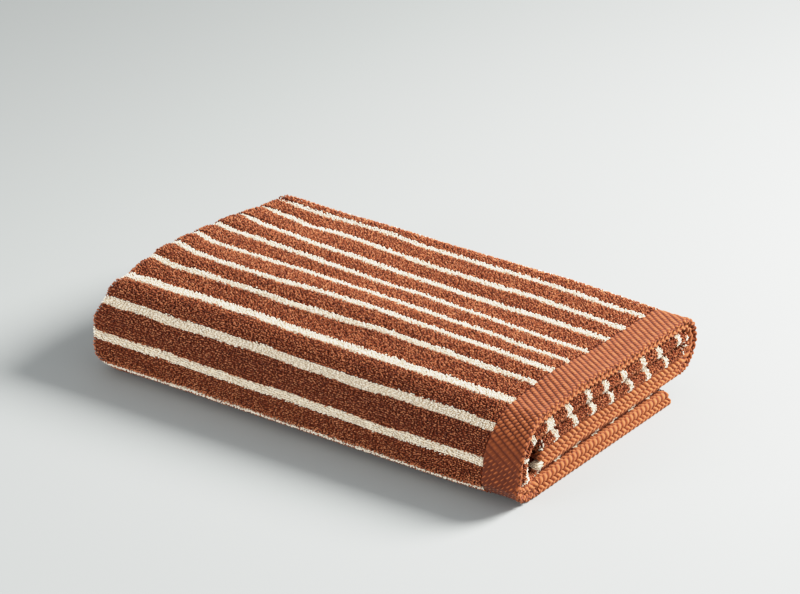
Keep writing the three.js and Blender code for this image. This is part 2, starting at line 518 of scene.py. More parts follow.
def make_piece(name, points, faces, material, slot, **maps):
    """A smooth mesh from points in millimetres and faces that all have as many corners."""
    mesh = bpy.data.meshes.new(name)
    points = np.asarray(points, float) + SHIFT
    points[:, 2] = np.maximum(points[:, 2], FLOOR_GAP)
    corners = faces.shape[1]
    mesh.vertices.add(len(points))
    mesh.vertices.foreach_set("co", (points * MM).ravel())
    mesh.loops.add(faces.size)
    mesh.loops.foreach_set("vertex_index", faces.ravel().astype(np.int32))
    mesh.polygons.add(len(faces))
    mesh.polygons.foreach_set("loop_start", np.arange(0, faces.size, corners, dtype=np.int32))
    mesh.update(calc_edges=True)
    for map_name, uv in maps.items():
        layer = mesh.uv_layers.new(name=map_name)
        layer.data.foreach_set("uv", uv[faces.ravel()].astype(np.float32).ravel())
    mesh.polygons.foreach_set("use_smooth", np.ones(len(faces), bool))
    mesh.validate()
    mesh.update()
    mesh.materials.append(material)
    piece = bpy.data.objects.new(name, mesh)
    bpy.context.scene.collection.objects.link(piece)
    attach(piece, "root")
    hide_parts("towel")
    print(name, "triangles", len(faces) * (corners - 2))
    return piece


# %% [markdown]
# The stripes are woven in, along the whole cloth. On the top they stand about 22 mm apart. Their
# places are read as the towel lies: across the top in millimetres, and round the front in degrees.
# Between those, and where nothing shows, they go on at the same pitch.

# %% Where the stripes run
STRIPE_PITCH = 22.2
STRIPE_WIDTH = 5.2

# A row for each stripe: its place, its width, and how far it drifts to the back at six places
# along the towel. The stripes on the shoulder and on the middle of the front are the widest.
DRIFT_X = (-175, -145, -90, -20, 50, 130)
TOP_STRIPES = {
    78: (4.8, 10.0, 5.0, 4.0, 1.5, -0.5, -1.0),
    54: (5.2, 14.0, 8.5, 5.0, 2.0, 1.0, 0.0),
    33: (5.6, 12.0, 4.5, -1.0, -0.5, 0.0, -1.0),
    10: (5.3, 9.0, 4.5, 0.5, 2.0, 0.0, -1.5),
    -12: (5.0, 8.5, 2.0, 1.5, 3.0, 0.5, -1.0),
    -33: (5.3, 7.5, -0.5, -2.0, 1.0, 2.5, 0.0),
    -56: (5.2, 6.5, 2.0, 2.0, 3.0, 5.0, 3.0),
    -78: (7.9, -4.0, -3.0, -3.0, -3.5, -4.0, -3.5),
}
FRONT_STRIPES = {
    47: (6.7, -1.0, -1.0, -0.5, -0.5, -0.5, 0.0),
    90: (6.2, -1.5, -1.5, -1.0, -1.0, -1.0, -0.5),
    137: (4.8, -1.5, -1.5, -1.0, -0.5, -1.0, -1.0),
}
PLAIN_STRIPE = (STRIPE_WIDTH,) + (0.0,) * len(DRIFT_X)
BACK_STRIPES = {39: PLAIN_STRIPE, 104: PLAIN_STRIPE, 165: PLAIN_STRIPE}

# The short folds lie a little shifted against the outer ply, and so does the bottom layer
SHORT_FOLD_SLIP = 5.0
LOWER_SLIP = 4.5


def stripe_rows():
    """The middle of every stripe, as v, with its width and drift, in rising order."""
    rows = [(V_TOP - FRONT_TURN * degrees / 180, row) for degrees, row in FRONT_STRIPES.items()]
    rows += [(V_TOP + y - FRONT_FOLD_Y, row) for y, row in TOP_STRIPES.items()]
    rows += [(V_BACK + BACK_TURN * degrees / 180, row) for degrees, row in BACK_STRIPES.items()]
    seen = sorted(rows)
    below = np.arange(seen[0][0] - LOWER_SLIP - STRIPE_PITCH, 0.0, -STRIPE_PITCH)
    above = np.arange(seen[-1][0] + STRIPE_PITCH, CLOTH_WIDTH + STRIPE_PITCH, STRIPE_PITCH)
    return sorted([(v, PLAIN_STRIPE) for v in (*below, *above)] + seen)


STRIPES = np.array([row[0] for row in stripe_rows()])
WIDTHS = np.array([row[1][0] for row in stripe_rows()])
DRIFTS = np.array([row[1][1:] for row in stripe_rows()])
print("stripes", len(STRIPES))

# %% [markdown]
# Each stripe keeps its own width along the towel. The distance from it is measured over the outer
# face as it lies folded, and not on the flat cloth, where the round front would stretch it. Two
# small waves keep its edge from being ruled.

# %% Distance from a stripe
U_ACROSS = CROSS_STARTS[6] + 150.0
STRIPE_WAVES = [(0.45, 21.0, 1.9), (0.30, 8.3, 2.7)]
V_TABLE = np.linspace(0, CLOTH_WIDTH, 3000)
OUTER_POINTS = folded(U_ACROSS, V_TABLE, PLY_THICKNESS / 2)
OUTER_RUN = np.concatenate([[0.0], np.cumsum(np.linalg.norm(np.diff(OUTER_POINTS, axis=0), axis=1))])


def off_stripe(u, v):
    """The nearest stripe's number, and how far from its middle on the outer ply, where every
    stripe counts as STRIPE_WIDTH wide."""
    x = cross_fold(u)[0]
    outer = u > CROSS_STARTS[5]
    slip = SHORT_FOLD_SLIP * ease((v - V_FRONT) / FRONT_TURN) * ease((V_TUCKED - v) / BACK_TURN) * ~outer
    number = np.round(np.interp(v - slip, STRIPES, np.arange(len(STRIPES)))).astype(int)
    beyond = np.maximum(STRIPES[number] - CLOTH_WIDTH, 0.0)
    middle = np.interp(STRIPES[number], V_TABLE, OUTER_RUN) + beyond
    rows = DRIFTS[number]
    step = np.clip(np.searchsorted(DRIFT_X, x, side="right") - 1, 0, len(DRIFT_X) - 2)
    at = np.asarray(DRIFT_X, float)
    t = ease((x - at[step]) / (at[step + 1] - at[step]))
    low = np.take_along_axis(rows, step[..., None], -1)[..., 0]
    high = np.take_along_axis(rows, step[..., None] + 1, -1)[..., 0]
    drift = (low + (high - low) * t) * outer
    wave = sum(size * np.sin(u / run + turn * number) for size, run, turn in STRIPE_WAVES)
    off = np.interp(v - slip, V_TABLE, OUTER_RUN) - middle - drift + wave
    return number, off * STRIPE_WIDTH / WIDTHS[number]


def stripe_phase(u, v):
    """Counts stripes across the cloth: a whole number is the middle of a stripe."""
    number, off = off_stripe(u, v)
    return number + np.clip(off / STRIPE_PITCH, -0.5, 0.5)


print("across the outer face", round(float(OUTER_RUN[-1]), 1), "mm")

# %% [markdown]
# Cotton terry is rough and soft: light sinks between the loops and glows at their tips. It is
# matt, roughness near 1, IOR 1.5 as cellulose, with a little sheen from the fibres that stand up.
# Yarn fuzz is about 0.2 mm. That is too fine to show, so the bump here is 0.5 mm wide.

# %% Cotton yarn and its shades
# From root to tip, each yarn's shades run from painted shade, where light sinks between the loops, through
# the dye to a painted highlight.
TERRACOTTA_AND_PAINTED_SHADE = dict(root="#3A1206", deep="#672A12", body="#984B26", tip="#CC8358")
CREAM_AND_PAINTED_SHADE = dict(root="#DDCBB0", deep="#F0E0C8", body="#FCEFDB", tip="#FFF8E8")
FUZZ_MM = 0.5


def per_metre(size_mm):
    """The noise scale that gives features of that size."""
    return 1.0 / (size_mm * MM)


def shade_ramp(tree, factor, shades):
    """A ramp through a yarn's shades, from the root of the loop, painted dark as shade, to its tip, painted
    pale as light.
    """
    ramp = add_node(tree, "ShaderNodeValToRGB", links={"Fac": factor})
    places = np.linspace(0.0, 1.0, len(shades))
    elements = ramp.color_ramp.elements
    elements[0].color = linear(list(shades.values())[0])
    elements[1].color = linear(list(shades.values())[-1])
    for at, shade in list(zip(places, shades.values()))[1:-1]:
        elements.new(at).color = linear(shade)
    return ramp.outputs["Color"]


def finish_cotton(tree, shader, place_socket, colour, sheen):
    """The matt, fuzzy surface that all the cotton here has."""
    fuzz = add_node(tree, "ShaderNodeTexNoise", {"Scale": per_metre(FUZZ_MM), "Detail": 3.0},
                    {"Vector": place_socket})
    bump = add_node(tree, "ShaderNodeBump", {"Strength": 0.55, "Distance": 0.15 * MM},
                    {"Height": fuzz.outputs["Fac"]})
    tree.links.new(colour, shader.inputs["Base Color"])
    tree.links.new(bump.outputs["Normal"], shader.inputs["Normal"])
    shader.inputs["Roughness"].default_value = 0.92
    shader.inputs["IOR"].default_value = 1.5
    shader.inputs["Specular IOR Level"].default_value = 0.15
    shader.inputs["Sheen Weight"].default_value = sheen
    shader.inputs["Sheen Roughness"].default_value = 0.6


print("yarn shades", list(TERRACOTTA_AND_PAINTED_SHADE))

# %% [markdown]
# The colour changes from loop to loop, and slowly over the cloth where the pile lies flatter.
# Each loop is painted dark at its feet and pale at its tip, a painted shade and highlight for the light
# that sinks between the real ones.

# %% Terry loops
PATCH_MM = 30.0
LOOP_TONE = 0.56
# The height on the loop paints it: painted shade at the feet, a painted highlight at the tip.
LOOP_HEIGHT_PAINTED_SHADE = 0.44
PATCH_TONE = 0.16


def patches(tree, coordinates):
    """A slow change over the cloth, where the pile lies one way or the other."""
    return add_node(tree, "ShaderNodeTexNoise", {"Scale": per_metre(PATCH_MM), "Detail": 2.0},
                    {"Vector": coordinates}).outputs["Fac"]


def loop_material(name, shades):
    """Terry loops of one dyed yarn: the loop's map holds its own tone, and the height on the loop, which
    paints shade at the feet and light at the tip.
    """
    material, tree, shader = new_material(name)
    coordinates = add_node(tree, "ShaderNodeTexCoord").outputs["Object"]
    flat = add_node(tree, "ShaderNodeUVMap", {"uv_map": "cloth"})
    parts = add_node(tree, "ShaderNodeSeparateXYZ", links={0: flat.outputs["UV"]})
    tone = add_node(tree, "ShaderNodeMath", {"operation": "MULTIPLY_ADD", 1: LOOP_TONE},
                    {0: parts.outputs["X"]})
    height = add_node(tree, "ShaderNodeMath", {"operation": "MULTIPLY", 1: LOOP_HEIGHT_PAINTED_SHADE},
                      {0: parts.outputs["Y"]})
    tree.links.new(height.outputs[0], tone.inputs[2])
    patch = add_node(tree, "ShaderNodeMath", {"operation": "MULTIPLY_ADD", 1: PATCH_TONE},
                     {0: patches(tree, coordinates), 2: tone.outputs[0]})
    colour = shade_ramp(tree, patch.outputs[0], shades)
    finish_cotton(tree, shader, coordinates, colour, 0.07)
    return material


TERRACOTTA_LOOPS = loop_material("cotton_terry_loops_terracotta_painted_shade", TERRACOTTA_AND_PAINTED_SHADE)
CREAM_LOOPS = loop_material("cotton_terry_loops_cream_painted_shade", CREAM_AND_PAINTED_SHADE)
print("loop materials", TERRACOTTA_LOOPS.name, CREAM_LOOPS.name)

# %% [markdown]
# The ground is the flat weave that holds the loops. Its stripes lie under the stripes of loops,
# so that no wrong colour shows between them. It takes the dark root shades of the yarns, as painted
# shade between the loops.

# %% Ground weave
GROUND_GRAIN_MM = 1.6


def ground_material(name):
    """The woven ground under the loops, striped by its place on the flat cloth, and painted dark as shade.
    """
    material, tree, shader = new_material(name)
    coordinates = add_node(tree, "ShaderNodeTexCoord").outputs["Object"]
    flat = add_node(tree, "ShaderNodeUVMap", {"uv_map": "cloth"})
    parts = add_node(tree, "ShaderNodeSeparateXYZ", links={0: flat.outputs["UV"]})
    count = add_node(tree, "ShaderNodeMath", {"operation": "MULTIPLY", 1: float(len(STRIPES))},
                     {0: parts.outputs["Y"]})
    whole = add_node(tree, "ShaderNodeMath", {"operation": "PINGPONG", 1: 0.5}, {0: count.outputs[0]})
    half_stripe = STRIPE_WIDTH / STRIPE_PITCH / 2
    inside = add_node(tree, "ShaderNodeMath", {"operation": "LESS_THAN", 1: half_stripe},
                      {0: whole.outputs[0]})
    grain = add_node(tree, "ShaderNodeTexNoise", {"Scale": per_metre(GROUND_GRAIN_MM), "Detail": 1.0},
                     {"Vector": coordinates}).outputs["Fac"]
    # Painted shade: the ground takes only the dark root and deep shades of the yarns.
    rust = shade_ramp(tree, grain, {key: TERRACOTTA_AND_PAINTED_SHADE[key] for key in ("root", "deep")})
    cream = shade_ramp(tree, grain, {key: CREAM_AND_PAINTED_SHADE[key] for key in ("root", "deep")})
    striped = add_node(tree, "ShaderNodeMix", {"data_type": "RGBA"},
                       {0: inside.outputs[0], 6: rust, 7: cream})
    finish_cotton(tree, shader, coordinates, striped.outputs[2], 0.0)
    return material


GROUND = ground_material("cotton_ground_weave_striped_painted_shade")
print("materials", [m.name for m in bpy.data.materials])

# %% [markdown]
# The cloth itself is one closed sheet of two faces over one grid. The grid is wide on the flat
# plies and close round the folds. It is a little thinner than the solid towel, because the loops
# of the pile stand out from it, and it thins out to its two long edges, the selvedges.

# %% The cloth
FLAT_STEP_ALONG = 10.5
FLAT_STEP_ACROSS = 7.4
CROSS_TURN_STEPS = 10
LETTER_TURN_STEPS = 26
GROUND_REACH = 0.8
INNER_TRIM = 0.1
PUFF = 0.3
END_PUFF = 1.3
END_PUFF_REACH = 70.0
ON_FLOOR_V = (V_FRONT - 8.0, 12.0)
PUFF_RISE = 6.0
PUFF_FROM = CROSS_STARTS[5] - 30.0
SELVEDGE_RUN = 9.0
SELVEDGE_KEEP = 0.6
HEM_NOSE = 2.5


def stations(starts, turns, turn_steps, flat_step):
    """Places along a fold path: even steps on the straights, close ones in the turns."""
    places = []
    for i, (low, high) in enumerate(zip(starts[:-1], starts[1:])):
        count = turn_steps if i in turns else max(2, round((high - low) / flat_step))
        places.extend(np.linspace(low, high, count, endpoint=False))
    return np.array(places + [starts[-1]])


def grid_faces(rows, columns, first=0, flip=False):
    """Quads over a grid of points."""
    a = first + np.arange(rows - 1)[:, None] * columns + np.arange(columns - 1)[None]
    quads = np.stack([a, a + columns, a + columns + 1, a + 1], -1).reshape(-1, 4)
    return quads[:, ::-1] if flip else quads


def puff(u, v):
    """How much the terracotta bands swell out between the stripes, most of all at the folded end."""
    off = np.abs(off_stripe(u, v)[1])
    at_end = ease((END_PUFF_REACH - np.abs(u - (CROSS_STARTS[5] + CROSS_STARTS[6]) / 2)) / END_PUFF_REACH)
    beside_stripe = ease((off - STRIPE_WIDTH / 2) / PUFF_RISE)
    return (PUFF + (END_PUFF - PUFF) * at_end) * beside_stripe * (u > PUFF_FROM)


def pile_off(u, v):
    """1 where the outer face lies on the floor and has no separate loops, else 0."""
    return ease((ON_FLOOR_V[0] - v) / ON_FLOOR_V[1]) * (u > CROSS_STARTS[6])


def make_cloth():
    """The closed sheet of the whole towel."""
    us = stations(CROSS_STARTS, {1, 3, 5}, CROSS_TURN_STEPS, FLAT_STEP_ALONG)
    us[0] += HEM_NOSE
    us[-1] -= HEM_NOSE
    vs = stations(LETTER_STARTS, {1, 3}, LETTER_TURN_STEPS, FLAT_STEP_ACROSS)
    u, v = np.meshgrid(us, vs, indexing="ij")
    edge = np.minimum(v, CLOTH_WIDTH - v)
    keep = SELVEDGE_KEEP + (1 - SELVEDGE_KEEP) * ease(edge / SELVEDGE_RUN)
    outer = (GROUND_REACH + puff(u, v) + (PLY_THICKNESS / 2 - GROUND_REACH) * pile_off(u, v)) * keep
    inner = -(PLY_THICKNESS / 2 - INNER_TRIM) * keep
    rows, columns = u.shape
    points = np.concatenate([folded(u, v, outer).reshape(-1, 3), folded(u, v, inner).reshape(-1, 3)])
    uv_one = np.stack([u / CLOTH_LENGTH, stripe_phase(u, v) / len(STRIPES)], -1).reshape(-1, 2)
    uv = np.concatenate([uv_one, uv_one])
    face = rows * columns
    ring = np.concatenate([
        np.arange(columns - 1),
        np.arange(rows - 1) * columns + columns - 1,
        (rows - 1) * columns + np.arange(columns - 1, 0, -1),
        np.arange(rows - 1, 0, -1) * columns,
    ])
    after = np.roll(ring, -1)
    rim = np.stack([ring, after, after + face, ring + face], -1)
    faces = np.concatenate([grid_faces(rows, columns), grid_faces(rows, columns, face, True), rim])
    return make_piece("cloth", points, faces, GROUND, "terracotta_terry", cloth=uv)


cloth = make_cloth()

# %% [markdown]
# Both short ends are finished with a flat woven band that is turned under and sewn, so its edge
# is a plump roll. The band's yarns make slanting ribs, each a row of grains like rice. On the
# roll the ribs of the two faces meet in a chevron, which reads as a plait from the end. The inner
# hem is rolled a little upwards in the bottom layer, which lifts its chevron. The ribs are large
# enough to catch the light, so they are real relief in a fine grid and not bump.

# %% Woven band material
# The band's dark root shades are painted shade in its grooves, and low on the round front a ground painted
# dark as shade.
BAND_AND_PAINTED_SHADE = dict(root="#260B03", deep="#5C250E", body="#8C4620", tip="#B76C3D")
# The corner's cream is painted greyer and darker than the cream elsewhere, as shade in the hem's corner,
# and darkest in its grooves.
CORNER_CREAM_AND_PAINTED_SHADE = dict(root="#38281A", deep="#84715A", body="#C9B99E", tip="#E6DAC4")
BAND_TONE_MM = 4.0
GRAIN_STEP = 0.37
GRAIN_TILT = 0.75
GRAIN_DRIFT = 0.09
# How dark the painted shade of the band's ground is, low on the round front
SHADE_GROUND = 0.20
GRAIN_SOFT = 0.6
DASH_THIN = 3.0
BAND_TONE_SHARE = 0.22


def sine_height(tree, source):
    """A smooth ridge between each two whole numbers of the source."""
    angle = add_node(tree, "ShaderNodeMath", {"operation": "MULTIPLY", 1: math.pi}, {0: source})
    wave = add_node(tree, "ShaderNodeMath", {"operation": "SINE"}, {0: angle.outputs[0]})
    return add_node(tree, "ShaderNodeMath", {"operation": "ABSOLUTE"}, {0: wave.outputs[0]}).outputs[0]


def band_weave(tree):
    """0 in the grooves to 1 on the grains, which paints shade in the grooves, or, low on the round front,
    pale dashes on a ground painted dark as shade.
    """
    flat = add_node(tree, "ShaderNodeUVMap", {"uv_map": "cloth"})
    parts = add_node(tree, "ShaderNodeSeparateXYZ", links={0: flat.outputs["UV"]})
    number = add_node(tree, "ShaderNodeMath", {"operation": "FLOOR"}, {0: parts.outputs["X"]})
    along = add_node(tree, "ShaderNodeMath", {"operation": "MULTIPLY_ADD", 1: GRAIN_STEP},
                     {0: number.outputs[0], 2: parts.outputs["Y"]})
    rib = sine_height(tree, parts.outputs["X"])
    grain = sine_height(tree, along.outputs[0])
    raised = add_node(tree, "ShaderNodeMath", {"operation": "MULTIPLY"}, {0: rib, 1: grain})
    grains = add_node(tree, "ShaderNodeMath", {"operation": "POWER", 1: GRAIN_SOFT}, {0: raised.outputs[0]})
    between = add_node(tree, "ShaderNodeMath", {"operation": "SUBTRACT", 0: 1.0}, {1: grain})
    thin = add_node(tree, "ShaderNodeMath", {"operation": "POWER", 1: DASH_THIN}, {0: between.outputs[0]})
    dash = add_node(tree, "ShaderNodeMath", {"operation": "MULTIPLY"}, {0: rib, 1: thin.outputs[0]})
    dashes = add_node(tree, "ShaderNodeMath", {"operation": "MULTIPLY_ADD", 1: 1.0, 2: SHADE_GROUND},
                      {0: dash.outputs[0]})
    zone = add_node(tree, "ShaderNodeUVMap", {"uv_map": "zone"})
    front = add_node(tree, "ShaderNodeSeparateXYZ", links={0: zone.outputs["UV"]})
    return add_node(tree, "ShaderNodeMix", {"data_type": "FLOAT"},
                    {0: front.outputs["X"], 2: grains.outputs[0], 3: dashes.outputs[0]}).outputs[0]


def band_material(name, shades):
    """Flat woven cotton: lighter and smoother than the pile, with painted shade in its grooves."""
    material, tree, shader = new_material(name)
    coordinates = add_node(tree, "ShaderNodeTexCoord").outputs["Object"]
    tone = add_node(tree, "ShaderNodeTexNoise", {"Scale": per_metre(BAND_TONE_MM), "Detail": 3.0},
                    {"Vector": coordinates})
    mixed = add_node(tree, "ShaderNodeMix", {"data_type": "FLOAT", 0: BAND_TONE_SHARE},
                     {2: band_weave(tree), 3: tone.outputs["Fac"]})
    colour = shade_ramp(tree, mixed.outputs[0], shades)
    finish_cotton(tree, shader, coordinates, colour, 0.06)
    shader.inputs["Roughness"].default_value = 0.8
    return material


WOVEN_BAND = band_material("cotton_woven_band_painted_shade", BAND_AND_PAINTED_SHADE)
# The corner weave is cream painted darker as shade.
CREAM_WEAVE = band_material("cotton_woven_corner_painted_shade", CORNER_CREAM_AND_PAINTED_SHADE)
print("woven materials", WOVEN_BAND.name, CREAM_WEAVE.name)

# %% [markdown]
# A hem is a closed tube round the cloth's end: flat on both faces, with a half round nose between
# them. A bump map would look the same from afar, but the ribs here make the hem's outline, so
# each row of the tube is moved in and out by the weave.

# %% Sizes of the hems and their ribs
BAND_WIDTH = 25.0

# Millimetres between ribs, how they turn and slant, their depth, the length and depth of a grain,
# how far the chevron is lifted round the roll, and the step of the grid that holds them
BAND_RIBS = dict(pitch=5.0, turn=1.0, slant=0.66, deep=0.9, grain=3.4, notch=1.15, lift=0.0, grid=0.6)
EDGE_RIBS = dict(pitch=4.9, turn=1.0, slant=0.80, deep=1.3, grain=None, notch=0.3, lift=0.0, grid=0.6)
LIFTED_RIBS = dict(EDGE_RIBS, lift=2.3)
CORNER_RIBS = dict(pitch=1.8, turn=0.25, slant=1.0, deep=0.6, grain=None, notch=0.0, lift=0.0, grid=0.5)
HEM_REACH = 2.0
HEM_PROUD = 1.3
HEM_GRID = 0.6
NOSE_STEPS = 14
EDGE_RUN = 6.5
CORNER_RUN = 3.0
CORNER_PROUD = 3.0
END_ROUND = 2.2
THREAD_ROUGH = 0.09
SHADE_FROM_TO = (14.0, 34.0)
SHADE_FOOT = 8.0
SHADE_WAY = (2.0, 3.0)
MEASURE_IN = 4.0
SINK_RUN = 1.5
SINK_DEPTH = 1.2
FRONT_FLATTER = 0.65
FACE_LOWER = 0.45
FACE_LOWER_RUN = 8.0


def measured(across, u, out, v_low, v_high, pitch):
    """Places v an even pitch apart, as measured over the folded cloth, and how far each has run."""
    fine = np.linspace(v_low, v_high, 4000)
    points = folded(u, fine, out) if across else folded(fine, u, out)
    gone = np.concatenate([[0.0], np.cumsum(np.linalg.norm(np.diff(points, axis=0), axis=1))])
    count = max(2, int(round(gone[-1] / pitch)))
    run = np.linspace(0, gone[-1], count + 1)
    return np.interp(run, gone, fine), run


def hem_profile(flat_run):
    """Distance in from the rim, height over the middle, signed way round the roll, and normal."""
    turn = np.linspace(math.pi / 2, -math.pi / 2, NOSE_STEPS + 1)
    flat = np.arange(flat_run, HEM_REACH + HEM_GRID / 2, -HEM_GRID)
    under = np.arange(HEM_REACH + HEM_GRID, EDGE_RUN, 2 * HEM_GRID)
    s = np.concatenate([flat, HEM_REACH * (1 - np.cos(turn)), under])
    over = np.full(len(flat), HEM_REACH)
    below = np.full(len(under), -HEM_REACH)
    out = np.concatenate([over, HEM_REACH * np.sin(turn), below])
    quarter = HEM_REACH * math.pi / 2
    way = np.concatenate([flat - HEM_REACH + quarter, HEM_REACH * turn, -(under - HEM_REACH + quarter)])
    normal_s = np.concatenate([np.zeros(len(flat)), -np.cos(turn), np.zeros(len(under))])
    normal_out = np.concatenate([np.ones(len(flat)), np.sin(turn), -np.ones(len(under))])
    return s, out, way, normal_s, normal_out


print("rib rolls", 2 * HEM_REACH, "mm thick")

# %% Weave of the ribs
RIB_ROUND = 0.75
GRAIN_ROUND = 0.7
MEAN_HEIGHT = 0.6
DRIFT_WAVE = (0.83, 1.7)


def weave_map(way, run, ribs):
    """The band's map: which rib, and how far along it in grains."""
    way = way - ribs["lift"]
    half = np.where(way < 0, 0.5, 0.0)
    slanted = (ribs["turn"] * run - ribs["slant"] * np.abs(way)) / ribs["pitch"] + half
    if ribs["grain"] is None:
        return slanted, 0.5 - GRAIN_STEP * np.floor(slanted)
    uneven = GRAIN_DRIFT * np.sin(DRIFT_WAVE[0] * run + DRIFT_WAVE[1] * way)
    return slanted, (np.abs(way) + GRAIN_TILT * run) / ribs["grain"] + uneven


def weave_relief(slanted, along, ribs):
    """Height of the slanting ribs and their grains, over and under the band's mean face."""
    rib = np.abs(np.sin(math.pi * slanted)) ** RIB_ROUND
    grain = np.abs(np.sin(math.pi * (along + GRAIN_STEP * np.floor(slanted)))) ** GRAIN_ROUND
    return ribs["deep"] * (rib - MEAN_HEIGHT) + ribs["notch"] * (grain - MEAN_HEIGHT) * rib


def shaded_front(way, v):
    """1 on the flat of the band low on the round front, where it is painted dark as shade and only pale
    dashes show, else 0.
    """
    low = ease((V_TOP - v - SHADE_FROM_TO[0]) / (SHADE_FROM_TO[1] - SHADE_FROM_TO[0]))
    foot = ease((v - V_FRONT + SHADE_FOOT) / SHADE_FOOT)
    return low * foot * ease((way - SHADE_WAY[0]) / SHADE_WAY[1])


print("ribs on the band", round(CLOTH_WIDTH / BAND_RIBS["pitch"]))

# %% One stretch of a hem
def tube_faces(rows, columns):
    """Faces of a tube of rows round and columns along, closed at both ends."""
    a = np.arange(columns - 1)
    last = (rows - 1) * columns
    closing = np.stack([last + a, a, a + 1, last + a + 1], -1)
    caps = []
    for column, flip in ((0, False), (columns - 1, True)):
        ring = np.arange(rows) * columns + column
        half = rows // 2
        cap = np.stack([ring[:half - 1], ring[1:half], ring[::-1][1:half], ring[::-1][:half - 1]], -1)
        caps.append(cap[:, ::-1] if flip else cap)
    return np.concatenate([grid_faces(rows, columns), closing, *caps])


def hem_stretch(at_outer_end, flat_run, v_low, v_high, ribs):
    """Points, faces and maps of one stretch of a rolled hem, as a closed tube round the cloth's end."""
    s, out, way, normal_s, normal_out = (row[:, None] for row in hem_profile(flat_run))
    end = CLOTH_LENGTH + HEM_PROUD if at_outer_end else -HEM_PROUD
    inward = -1.0 if at_outer_end else 1.0
    v_end = CLOTH_WIDTH + (CORNER_PROUD if at_outer_end else 0.0)
    vs, run = measured(True, end + inward * MEASURE_IN, HEM_REACH, 0.0, v_end, ribs["grid"])
    chosen = (vs >= v_low) & (vs <= v_high)
    vs, run = vs[None, chosen], run[None, chosen]
    slanted, along = weave_map(way, run, ribs)
    front = shaded_front(way, vs)
    sunk = ease((way - (flat_run - SINK_RUN)) / SINK_RUN)
    relief = weave_relief(slanted, along, ribs) * (1 - FRONT_FLATTER * front)
    relief = relief * (1 - sunk) - SINK_DEPTH * sunk
    relief = relief + np.random.default_rng(vs.size).normal(0, THREAD_ROUGH, relief.shape)
    to_end = np.minimum(np.minimum(vs, v_end - vs) / END_ROUND, 1.0)
    full = np.sqrt(np.clip(1 - (1 - to_end) ** 2, 0.02, 1.0))
    reach = (out - FACE_LOWER * (out > 0) * ease(way / FACE_LOWER_RUN)) * full
    u = end + inward * (s + normal_s * relief + HEM_REACH * (1 - full))
    points = folded(u, vs, reach + normal_out * relief * full).reshape(-1, 3)
    faces = tube_faces(len(s), vs.size)
    if not at_outer_end:
        faces = faces[:, ::-1]
    zone = np.stack([front, np.zeros_like(front)], -1).reshape(-1, 2)
    return points, faces, np.stack([slanted, along], -1).reshape(-1, 2), zone


print("hem profile rows", len(hem_profile(EDGE_RUN)[0]))

# %% The hems
def make_hem(name, at_outer_end, stretches, material, slot):
    """One hem, of stretches that meet end to end."""
    points, faces, maps, zones = [], [], [], []
    count = 0
    for stretch in stretches:
        more_points, more_faces, more_map, more_zone = hem_stretch(at_outer_end, *stretch)
        points.append(more_points)
        faces.append(more_faces + count)
        maps.append(more_map)
        zones.append(more_zone)
        count += len(more_points)
    return make_piece(name, np.concatenate(points), np.concatenate(faces), material, slot,
                      cloth=np.concatenate(maps), zone=np.concatenate(zones))


# The outer hem is wide only where it shows: round the front, over the top and down the back.
# Each stretch starts a little before the last one ends.
V_BAND = (V_FRONT - 4.0, V_TUCKED + 4.0)
V_CORNER = CLOTH_WIDTH - CORNER_RUN
BAND_RUN = BAND_WIDTH + HEM_PROUD + 0.8
LAP = 0.5
CORNER_LAP = 0.6
hems = [
    make_hem("hem_outer", True, [
        (EDGE_RUN, 0.0, V_BAND[0], EDGE_RIBS),
        (BAND_RUN, V_BAND[0] - LAP, V_BAND[1], BAND_RIBS),
        (EDGE_RUN, V_BAND[1] - LAP, V_CORNER, EDGE_RIBS),
    ], WOVEN_BAND, "woven_band"),
    make_hem("hem_inner", False, [
        (EDGE_RUN, 0.0, V_BAND[0], LIFTED_RIBS),
        (EDGE_RUN, V_BAND[0] - LAP, CLOTH_WIDTH, EDGE_RIBS),
    ], WOVEN_BAND, "woven_band"),
    make_hem("hem_corner", True, [
        (EDGE_RUN, V_CORNER - CORNER_LAP, CLOTH_WIDTH + CORNER_PROUD, CORNER_RIBS),
    ], CREAM_WEAVE, "cream_terry"),
]

# %% [markdown]
# The pile is made of loops. Each loop is one small arch of yarn with both feet in the ground, on
# a jittered grid, and it leans its own way. A hair system or scattered instances could do the
# same, but plain arrays keep each loop's place on the flat cloth, which says whether its yarn is
# terracotta or cream. Real loops stand about 1.4 mm apart. Here they are 1.46 mm apart where the
# picture shows them best, and a little wider apart at the folded end and behind. Loops are laid
# only where the pile is seen.

# %% One loop
LOOP_PITCH = 1.46
END_PITCH = 1.08 * LOOP_PITCH
COARSE_PITCH = 1.85
JITTER_ALONG = 0.45
JITTER_ACROSS = 0.18
LOOP_SPAN = 1.38
LOOP_HEIGHT = 0.90
YARN_RADIUS = 0.50
LOOP_LEAN = 0.40
FOOT_DEPTH = 0.35
LOOP_TURN = 0.55
LEAN_ACROSS = 0.7
SPAN_SPREAD = (0.75, 1.25)
HEIGHT_SPREAD = (0.65, 1.35)
RADIUS_SPREAD = (0.85, 1.15)
FRAME_STEP = 0.6
RING_PLACE = 0.30
RING_TILT = 0.16
RING_ANGLES = [math.pi / 2, math.pi * 7 / 6, math.pi * 11 / 6]

# Two feet, and two rings of three points between them, with how high each point is on the loop
LOOP_HEIGHTS = np.array([0.0, 1.0, 0.35, 0.35, 1.0, 0.35, 0.35, 0.0])
LOOP_FACES = np.array([
    (0, 1, 2), (0, 2, 3), (0, 3, 1),
    (1, 4, 5), (1, 5, 2), (2, 5, 6), (2, 6, 3), (3, 6, 4), (3, 4, 1),
    (7, 5, 4), (7, 6, 5), (7, 4, 6),
])


